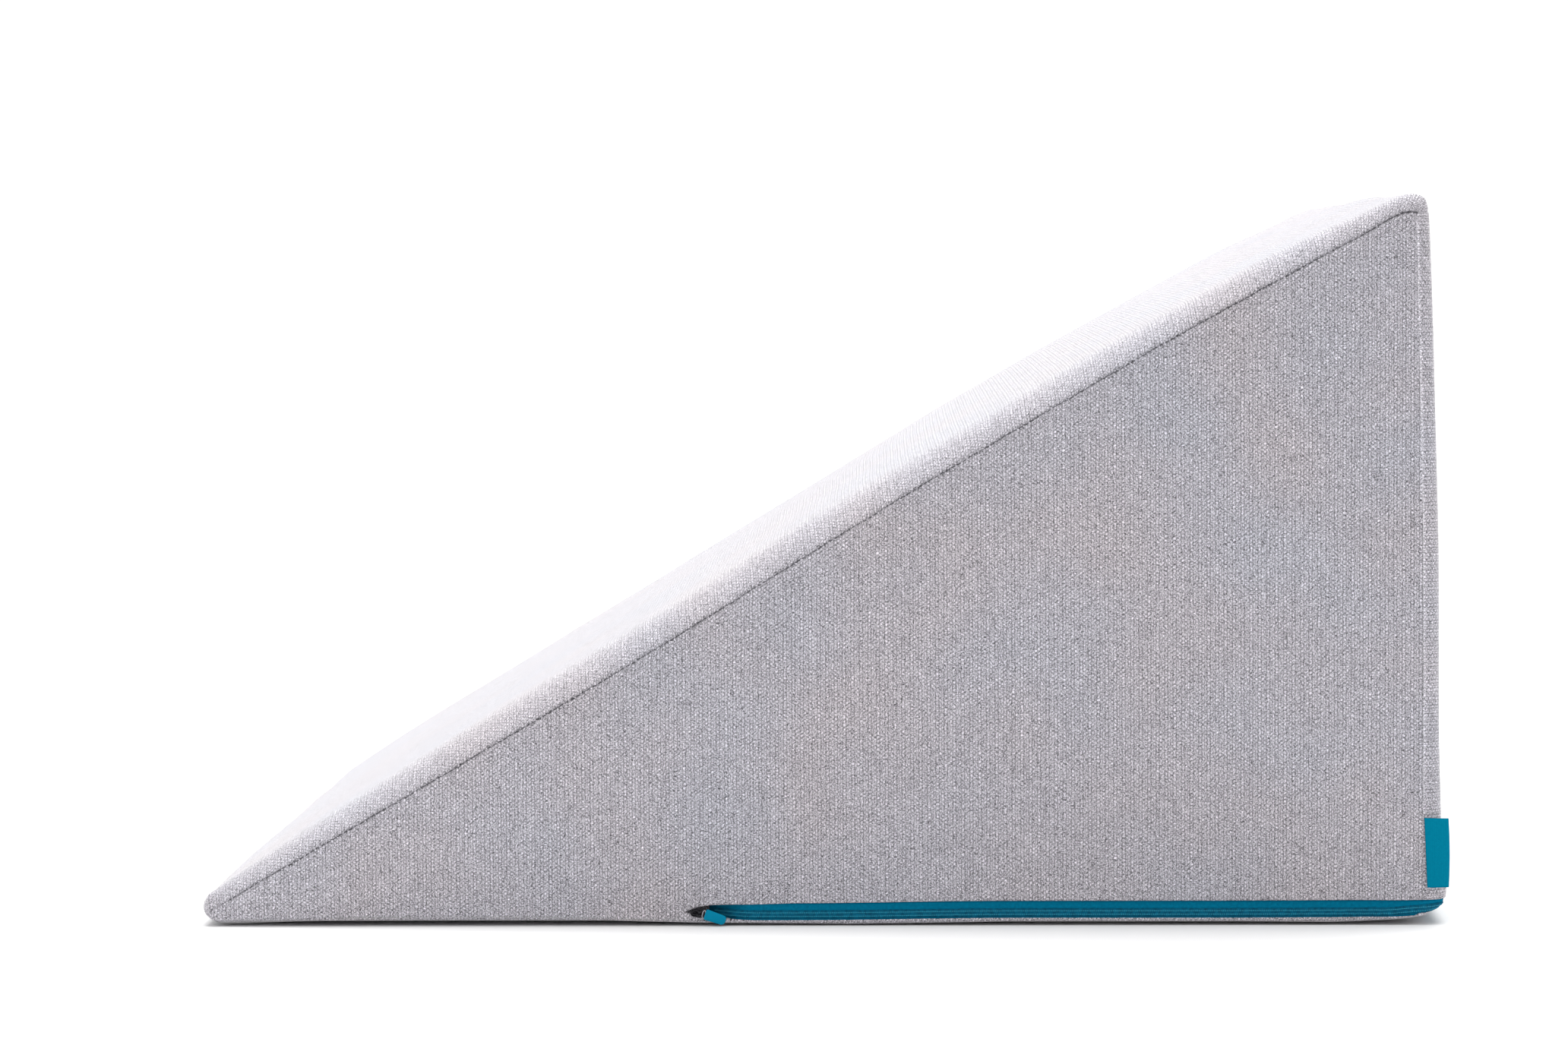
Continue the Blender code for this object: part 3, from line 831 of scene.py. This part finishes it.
def add_bar(work, path, radius, sides, square_to, closed=False):
    """Add a round bar through these points, which lie in the plane that this direction is square to."""
    path = [Vector(point) for point in path]
    square_to = Vector(square_to)
    count = len(path)
    rings = []
    for n, point in enumerate(path):
        if closed:
            ahead = path[(n + 1) % count] - path[n - 1]
        else:
            ahead = path[min(n + 1, count - 1)] - path[max(n - 1, 0)]
        over = ahead.normalized().cross(square_to)
        turns = [2 * pi * k / sides for k in range(sides)]
        ring = [point + (square_to * cos(a) + over * sin(a)) * radius for a in turns]
        rings.append([work.verts.new(place) for place in ring])
    pairs = list(zip(rings, rings[1:]))
    if closed:
        pairs.append((rings[-1], rings[0]))
    else:
        work.faces.new(rings[0])
        work.faces.new(rings[-1][::-1])
    for low, high in pairs:
        for k in range(sides):
            work.faces.new((low[k], low[(k + 1) % sides], high[(k + 1) % sides], high[k]))


def built(name, make):
    """A smooth object from a function that fills an empty bmesh."""
    work = bmesh.new()
    make(work)
    bmesh.ops.recalc_face_normals(work, faces=work.faces)
    mesh = bpy.data.meshes.new(name)
    work.to_mesh(mesh)
    work.free()
    mesh.shade_smooth()
    return object_of(name, mesh)


def chain_pitch(work):
    """A pitch of both coils, two bars to each: x runs along the zip and -y points out."""
    for side, shift in ((1, 0), (1, 0.5), (-1, 0.25), (-1, 0.75)):
        along = COIL_PITCH * shift
        middle = side * COIL_SPREAD
        turns = np.linspace(0, pi, 5)
        bow = [(along, -COIL_BULGE * sin(t), middle - side * COIL_REACH * cos(t)) for t in turns]
        add_bar(work, bow, WIRE_RADIUS, 4, (1, 0, 0))


def bead_pitch(work):
    """The thread bead that ties each coil down, one to a pitch."""
    for side, shift in ((1, 0), (-1, 0.5)):
        ends = (shift - 0.3, shift, shift + 0.3)
        bead = [(COIL_PITCH * end, -BEAD_OUT, side * BEAD_HEIGHT) for end in ends]
        add_bar(work, bead, BEAD_RADIUS, 5, (0, 0, 1))


def repeat_tree():
    """A node tree that sets a unit out along a curve, facing the wall, with slight unevenness."""
    tree = bpy.data.node_groups.new("repeat_along", "GeometryNodeTree")
    face = tree.interface
    face.new_socket("Geometry", in_out="INPUT", socket_type="NodeSocketGeometry")
    face.new_socket("Unit", in_out="INPUT", socket_type="NodeSocketObject")
    face.new_socket("Pitch", in_out="INPUT", socket_type="NodeSocketFloat")
    face.new_socket("Unevenness", in_out="INPUT", socket_type="NodeSocketFloat")
    face.new_socket("Seed", in_out="INPUT", socket_type="NodeSocketInt")
    face.new_socket("Material", in_out="INPUT", socket_type="NodeSocketMaterial")
    face.new_socket("Geometry", in_out="OUTPUT", socket_type="NodeSocketGeometry")
    start = tree.nodes.new("NodeGroupInput")
    given = {socket.name: Wire(tree, socket) for socket in start.outputs if socket.name}
    wire = Wire(tree)
    curve = wire.node("GeometryNodeMeshToCurve", {}, {"Mesh": given["Geometry"]})
    spaced_out = wire.node(
        "GeometryNodeResampleCurve", {"mode": "LENGTH"}, {"Curve": curve, "Length": given["Pitch"]}
    )
    unit = wire.node(
        "GeometryNodeObjectInfo", {"transform_space": "ORIGINAL"}, {"Object": given["Unit"]}
    )
    inward = wire.node(
        "GeometryNodeInputNamedAttribute", {"data_type": "FLOAT_VECTOR"}, {"Name": "inward"}
    )
    tangent = wire.node("GeometryNodeInputTangent", {}, {})
    along = wire.node("FunctionNodeAlignRotationToVector", {"axis": "X"}, {"Vector": tangent})
    facing = wire.node(
        "FunctionNodeAlignRotationToVector", {"axis": "Y", "pivot_axis": "X"},
        {"Rotation": along, "Vector": inward},
    )
    size = wire.node(
        "FunctionNodeRandomValue", {"data_type": "FLOAT"},
        {"Min": 1 - given["Unevenness"], "Max": 1 + given["Unevenness"], "Seed": given["Seed"]},
    )
    placed = wire.node(
        "GeometryNodeInstanceOnPoints", {},
        {"Points": spaced_out, "Instance": unit.out("Geometry"), "Rotation": facing, "Scale": size},
    )
    real = wire.node("GeometryNodeRealizeInstances", {}, {"Geometry": placed})
    dressed = wire.node(
        "GeometryNodeSetMaterial", {}, {"Geometry": real, "Material": given["Material"]}
    )
    end = tree.nodes.new("NodeGroupOutput")
    dressed.into(end, "Geometry")
    return tree


repeat_along = repeat_tree()


def set_out(name, points, inward, unit, pitch, unevenness, seed, material):
    """An object with the unit repeated along these points, its -y turned away from inward."""
    line = bpy.data.meshes.new(name + "_line")
    line.from_pydata(points.tolist(), [(n, n + 1) for n in range(len(points) - 1)], [])
    line.attributes.new("inward", "FLOAT_VECTOR", "POINT").data.foreach_set("vector", np.ravel(inward))
    holder = object_of(name + "_line", line)
    modifier = holder.modifiers.new("repeat", "NODES")
    modifier.node_group = repeat_along
    values = {
        "Unit": unit, "Pitch": pitch, "Unevenness": unevenness, "Seed": seed, "Material": material
    }
    for socket in repeat_along.interface.items_tree:
        if socket.in_out == "INPUT" and socket.name in values:
            modifier[socket.identifier] = values[socket.name]
    ready = holder.evaluated_get(bpy.context.evaluated_depsgraph_get())
    mesh = bpy.data.meshes.new_from_object(ready)
    mesh.name = name
    mesh.shade_smooth()
    for leftover in (holder, unit):
        bpy.data.objects.remove(leftover)
    bpy.data.meshes.remove(line)
    return object_of(name, mesh)


def nylon_material():
    """Satin teal nylon, a little uneven in its dye."""
    material, wire, shader = new_material("teal_nylon", 0.5, Specular_IOR_Level=0.12)
    color = wire.node("ShaderNodeValToRGB", {"stops": [
        (0.3, (0.0005, 0.085, 0.155, 1)), (0.7, (0.001, 0.16, 0.27, 1)),
    ]}, {"Fac": wire.noise(wire.place(), 700.0, 1.0)})
    color.into(shader, "Base Color")
    return material


chain_at = np.concatenate([
    np.arange(CHAIN_START, STRAIGHT, 5 * MM),
    np.linspace(STRAIGHT, STRAIGHT + TURN, 12),
    np.arange(STRAIGHT + TURN + 5 * MM, ZIP_LENGTH - 4 * MM, 10 * MM),
])
chain_height = CHAIN_MIDDLE + CHAIN_RISE * smooth_step(chain_at, STRAIGHT - 16 * MM, STRAIGHT + 2 * MM)
chain_line = zip_points(chain_at, chain_height, CHAIN_OUT + 0 * chain_at)
chain_inward = -zip_outward(chain_at, chain_height)
bead_thread = new_material("bead_thread", 0.7, Base_Color=(0.025, 0.33, 0.47, 1))[0]
for name, make, material in (
    ("zip_coils", chain_pitch, nylon_material()),
    ("zip_beads", bead_pitch, bead_thread),
):
    unit = built(name + "_pitch", make)
    made = set_out(name, chain_line, chain_inward, unit, COIL_PITCH, CHAIN_UNEVEN, 3, material)
    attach(made, "root")
    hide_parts("zip_coil")


# The slider
# Cast metal in a dark gunmetal finish: two tapered plates round the chain's start, an arched bridge
# on the front one and a ring in the bridge that the pull hangs on.

SLIDER_X = 235.6 * MM
SLIDER_LONG = 6.0 * MM
SLIDER_TALL = 3.6 * MM
SLIDER_Z = 6.4 * MM
PLATE_THICK = 0.8 * MM
SLIDER_OUT = 0.1 * MM
SLIDER_DROP = radians(8)
BRIDGE_RISE = 1.5 * MM
BRIDGE_RADIUS = 0.42 * MM
RING_LONG, RING_TALL = 0.8 * MM, 2.0 * MM
RING_OUT = 0.9 * MM
RING_RADIUS = 0.3 * MM
RING_DROP = radians(14)


def add_plate(work, outline, low, high, round_by):
    """Add a flat plate with this (x, z) outline between two depths, its edges rounded."""
    near = [work.verts.new((x, -high, z)) for x, z in outline]
    far = [work.verts.new((x, -low, z)) for x, z in outline]
    made = [work.faces.new(near), work.faces.new(far[::-1])]
    count = len(outline)
    for n in range(count):
        m = (n + 1) % count
        made.append(work.faces.new((near[n], far[n], far[m], near[m])))
    edges = {edge for face in made for edge in face.edges}
    bmesh.ops.recalc_face_normals(work, faces=made)
    bmesh.ops.bevel(work, geom=list(edges), offset=round_by, segments=3, profile=0.6, affect="EDGES")


def make_slider(work):
    """The front and back plates and the bridge that arches over the front one."""
    half, long = SLIDER_TALL / 2, SLIDER_LONG
    outline = [
        (0, -half * 0.55), (long * 0.25, -half), (long * 0.7, -half), (long, -half * 0.7),
        (long, half * 0.7), (long * 0.7, half), (long * 0.25, half), (0, half * 0.55),
    ]
    add_plate(work, outline, SLIDER_OUT - PLATE_THICK, SLIDER_OUT, 0.22 * MM)
    add_plate(work, outline, SLIDER_OUT - 2.6 * PLATE_THICK, SLIDER_OUT - 1.7 * PLATE_THICK, 0.2 * MM)
    turns = np.linspace(0, pi, 9)
    bridge = [
        (long * (0.5 - 0.36 * cos(t)), 0.2 * MM - SLIDER_OUT - BRIDGE_RISE * sin(t), 0) for t in turns
    ]
    add_bar(work, bridge, BRIDGE_RADIUS, 8, (0, 0, 1))


def place_at(made, x, z, drop):
    """Set a piece that was built round its own start on the side panel's plane, turned to drop."""
    for vert in made.data.vertices:
        onward, upward = vert.co.x, vert.co.z
        vert.co.x = NOSE_X + x + onward * cos(drop) + upward * sin(drop)
        vert.co.z = z - onward * sin(drop) + upward * cos(drop)
        vert.co.y -= SIDE_PLANE


slider = built("zip_slider_body", make_slider)
place_at(slider, SLIDER_X, SLIDER_Z, SLIDER_DROP)
gunmetal, wire, shader = new_material("gunmetal", 0.32, Metallic=1.0)
worn = wire.node("ShaderNodeValToRGB", {"stops": [
    (0.4, (0.004, 0.004, 0.005, 1)), (0.65, (0.05, 0.05, 0.055, 1)),
]}, {"Fac": wire.noise(wire.place(), 1100.0, 2.0)})
worn.into(shader, "Base Color")
slider.data.materials.append(gunmetal)
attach(slider, "root")
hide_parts("zip_slider")


def make_ring(work):
    """An oval ring of bent wire."""
    around = np.linspace(0, 2 * pi, 17)[:-1]
    oval = [(RING_LONG * cos(t), -SLIDER_OUT - RING_OUT, RING_TALL * sin(t)) for t in around]
    add_bar(work, oval, RING_RADIUS, 8, (0, 1, 0), closed=True)


ring = built("pull_ring", make_ring)
place_at(ring, SLIDER_X + SLIDER_LONG + 0.3 * MM, SLIDER_Z - 0.7 * MM, RING_DROP)
steel = new_material("grey_steel", 0.35, Metallic=1.0, Base_Color=(0.32, 0.32, 0.34, 1))[0]
ring.data.materials.append(steel)
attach(ring, "root")
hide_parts("zip_slider")


# The pull
# A moulded teal rubber tab on the slider's ring, widest at the ring, with a chamfered rim and a
# shallow raised field.

PULL_X = 242.4 * MM
PULL_Z = 5.9 * MM
PULL_LENGTH = 10.4 * MM
PULL_WIDTH = 5.2 * MM
PULL_END_WIDTH = 4.6 * MM
PULL_THICK = 1.5 * MM
PULL_DROP = radians(19)
PULL_OUT = 0.9 * MM
PULL_CHAMFER = 0.4 * MM
FIELD_RISE = 0.14 * MM
FIELD_ROUND = 0.12 * MM


def make_pull(work):
    """The pull's body with its raised field."""
    half, end = PULL_WIDTH / 2, PULL_END_WIDTH / 2
    outline = [
        (0, 0.5 * MM - half), (0.5 * MM, -half), (PULL_LENGTH - 1.2 * MM, -end),
        (PULL_LENGTH, 1.2 * MM - end), (PULL_LENGTH, end - 0.9 * MM), (PULL_LENGTH - 0.9 * MM, end),
        (0.5 * MM, half), (0, half - 0.5 * MM),
    ]
    add_plate(work, outline, PULL_OUT - PULL_THICK / 2, PULL_OUT + PULL_THICK / 2, PULL_CHAMFER)
    inset = [(0.95 * MM + x * 0.8, z * 0.72) for x, z in outline]
    add_plate(work, inset, PULL_OUT, PULL_OUT + PULL_THICK / 2 + FIELD_RISE, FIELD_ROUND)


pull = built("zip_pull_tab", make_pull)
place_at(pull, PULL_X, PULL_Z, PULL_DROP)
rubber, wire, shader = new_material(
    "teal_rubber", 0.6, Base_Color=(0.0005, 0.2, 0.33, 1), Specular_IOR_Level=0.05
)
wire.bump(shader, wire.noise(wire.place(), 2500.0, 2.0), 0.3, 0.05 * MM)
pull.data.materials.append(rubber)
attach(pull, "root")
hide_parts("zip_pull")


# The tab
# A teal satin tape, folded in two and caught in the back seam with its fold outward. Its face is
# plain, and it leans a little with the cover's corner.

TAB_ROOT_X = 587.0 * MM
TAB_REACH = 11.6 * MM
TAB_FOOT_Z = 18.2 * MM
TAB_HEIGHT = 33.5 * MM
TAB_LAYER = 0.36 * MM
TAB_APART = 0.5 * MM
TAB_PROUD = 0.85 * MM
TAB_LEVEL = 35 * MM
TAB_BOW = 0.45 * MM
TAB_FULLNESS = 0.25 * MM
TAB_WAVE = 0.12 * MM
TAB_SHRINK = 0.012
TAB_COLUMNS = 22
TAB_ROWS = 28
PICK_PITCH = 0.42 * MM
END_PITCH = 0.55 * MM


def folded_tab(work):
    """Both layers as one sheet: out to the fold and back, with a slight bow and uneven edges."""
    flat = np.linspace(-1, 1, 2 * TAB_COLUMNS + 1)
    rows = np.linspace(0, 1, TAB_ROWS + 1)
    grid = []
    for layer in (0, 1):
        sheet = []
        for share in rows:
            z = TAB_FOOT_Z + TAB_HEIGHT * share
            line = []
            for t in flat:
                reach_out, side = 1 - abs(t), 1 if t > 0 else -1
                apart = TAB_APART * min(1, abs(t) / 0.1) ** 0.5 * side
                thick = TAB_LAYER * (0.5 - layer) * side
                bow = TAB_BOW * sin(pi * reach_out) + TAB_FULLNESS * sin(pi * share) * reach_out
                wave = TAB_WAVE * noise.noise(Vector((reach_out * 2, share * 3, 5)))
                shrink = 1 - TAB_SHRINK * reach_out
                lean = (1 - share) * (1.5 - 1.3 * reach_out) + 0.45 * sin(pi * share) * reach_out
                x = TAB_ROOT_X + lean * MM + TAB_REACH * reach_out
                x -= layer * TAB_LAYER if abs(t) < 0.06 else 0
                y = -SIDE_PLANE - TAB_PROUD - bow - wave - (apart / 2 + thick)
                line.append(work.verts.new((NOSE_X + x, y, (z - TAB_LEVEL) * shrink + TAB_LEVEL)))
            sheet.append(line)
        grid.append(sheet)
    outer, inner = grid
    last = 2 * TAB_COLUMNS
    for n in range(TAB_ROWS):
        for m in range(last):
            for sheet in grid:
                work.faces.new((sheet[n][m], sheet[n][m + 1], sheet[n + 1][m + 1], sheet[n + 1][m]))
        for m in (0, last):
            work.faces.new((outer[n][m], outer[n + 1][m], inner[n + 1][m], inner[n][m]))
    for m in range(last):
        for n in (0, TAB_ROWS):
            work.faces.new((outer[n][m], outer[n][m + 1], inner[n][m + 1], inner[n][m]))


def satin_material():
    """Teal satin tape: close fine ribs both ways."""
    material, wire, shader = new_material("teal_satin", 0.7, Specular_IOR_Level=0.01)
    where = wire.place()
    split = wire.node("ShaderNodeSeparateXYZ", {}, {"Vector": where})
    x, z = split.out(0), split.out(2)
    picks = (z * (2 * pi / PICK_PITCH)).math("SINE") * 0.3
    ends = (x * (2 * pi / END_PITCH)).math("SINE") * 0.2
    tone = picks + ends + wire.noise(where, 800.0, 2.0)
    color = wire.node("ShaderNodeValToRGB", {"stops": [
        (0.1, (0.0004, 0.145, 0.24, 1)), (0.9, (0.0008, 0.19, 0.295, 1)),
    ]}, {"Fac": tone})
    color.into(shader, "Base Color")
    wire.bump(shader, tone, 0.4, 0.06 * MM)
    return material


tab = built("folded_tab", folded_tab)
tab.data.materials.append(satin_material())
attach(tab, "root")
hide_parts("label")


# The seam stitches
# Dark thread that shows as short sunk dashes where the top panel is sewn to the two side panels. One
# stitch is modelled and set out along each seam.

STITCH_PITCH = 3.1 * MM
STITCH_LONG = 1.9 * MM
STITCH_RADIUS = 0.19 * MM
STITCH_OUT = 2.0 * MM
STITCH_DIP = 0.25 * MM
STITCH_UNEVEN = 0.2
STITCHED = slice(RIDGE + 2, RIDGE + COLUMNS - 8)


def stitch(work):
    """A short bar of thread whose ends dip into the cloth."""
    path = [(STITCH_LONG * t, STITCH_DIP * (2 * t) ** 2, 0) for t in (-0.5, -0.2, 0.2, 0.5)]
    add_bar(work, path, STITCH_RADIUS, 6, (0, 0, 1))


thread = new_material("dark_thread", 0.8, Base_Color=(0.035, 0.034, 0.04, 1))[0]
for name, row, seed in (("seam_stitches_near", 0, 10), ("seam_stitches_far", BAND_ROWS - 1, 12)):
    outward = band_normals[row, STITCHED]
    seam = band[row, STITCHED] + (NOSE_X, 0, 0) + outward * STITCH_OUT
    unit = built("stitch", stitch)
    line = set_out(name, seam, -outward, unit, STITCH_PITCH, STITCH_UNEVEN, seed, thread)
    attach(line, "root")
    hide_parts("cushion")


# The studio
# A white sweep lit by a soft white sky with one broad light overhead, and a long lens a little over
# the ridge, turned slightly to the left and down.

FLOOR_HALF = 1.6
SKY_STRENGTH = 1.1
LIGHT_PLACE = (0.1, 0.5, 2.4)
LIGHT_SIZE = (2.6, 2.2)
LIGHT_POWER = 98
CAMERA_PLACE = (0.0444, -2.5441, 0.3113)
CAMERA_TURN = (radians(87.022), radians(0.3), radians(1.618))
CAMERA_LENS = 107.97
CAMERA_SENSOR = 36

corners = [(x * FLOOR_HALF, y * FLOOR_HALF, 0) for x, y in ((-1, -1), (1, -1), (1, 1), (-1, 1))]
floor_mesh = bpy.data.meshes.new("floor")
floor_mesh.from_pydata(corners, [], [(0, 1, 2, 3)])
floor = object_of("floor", floor_mesh)
floor_mesh.materials.append(new_material("white_paper", 0.9, Base_Color=(0.79, 0.79, 0.79, 1))[0])

world = bpy.data.worlds.new("white_sky")
world.use_nodes = True
sky = world.node_tree.nodes["Background"]
sky.inputs["Color"].default_value = (1.0, 1.0, 1.0, 1)
sky.inputs["Strength"].default_value = SKY_STRENGTH
bpy.context.scene.world = world
bpy.context.scene.view_settings.view_transform = "Standard"

light = bpy.data.lights.new("overhead", "AREA")
light.shape = "RECTANGLE"
light.size, light.size_y = LIGHT_SIZE
light.energy = LIGHT_POWER
overhead = object_of("overhead", light)
overhead.location = LIGHT_PLACE
overhead.rotation_euler = (-overhead.location).to_track_quat("-Z", "Y").to_euler()

camera = object_of("camera", bpy.data.cameras.new("camera"))
camera.data.sensor_width = CAMERA_SENSOR
camera.data.lens = CAMERA_LENS
camera.data.clip_end = 100
camera.location = CAMERA_PLACE
camera.rotation_euler = CAMERA_TURN
bpy.context.scene.camera = camera
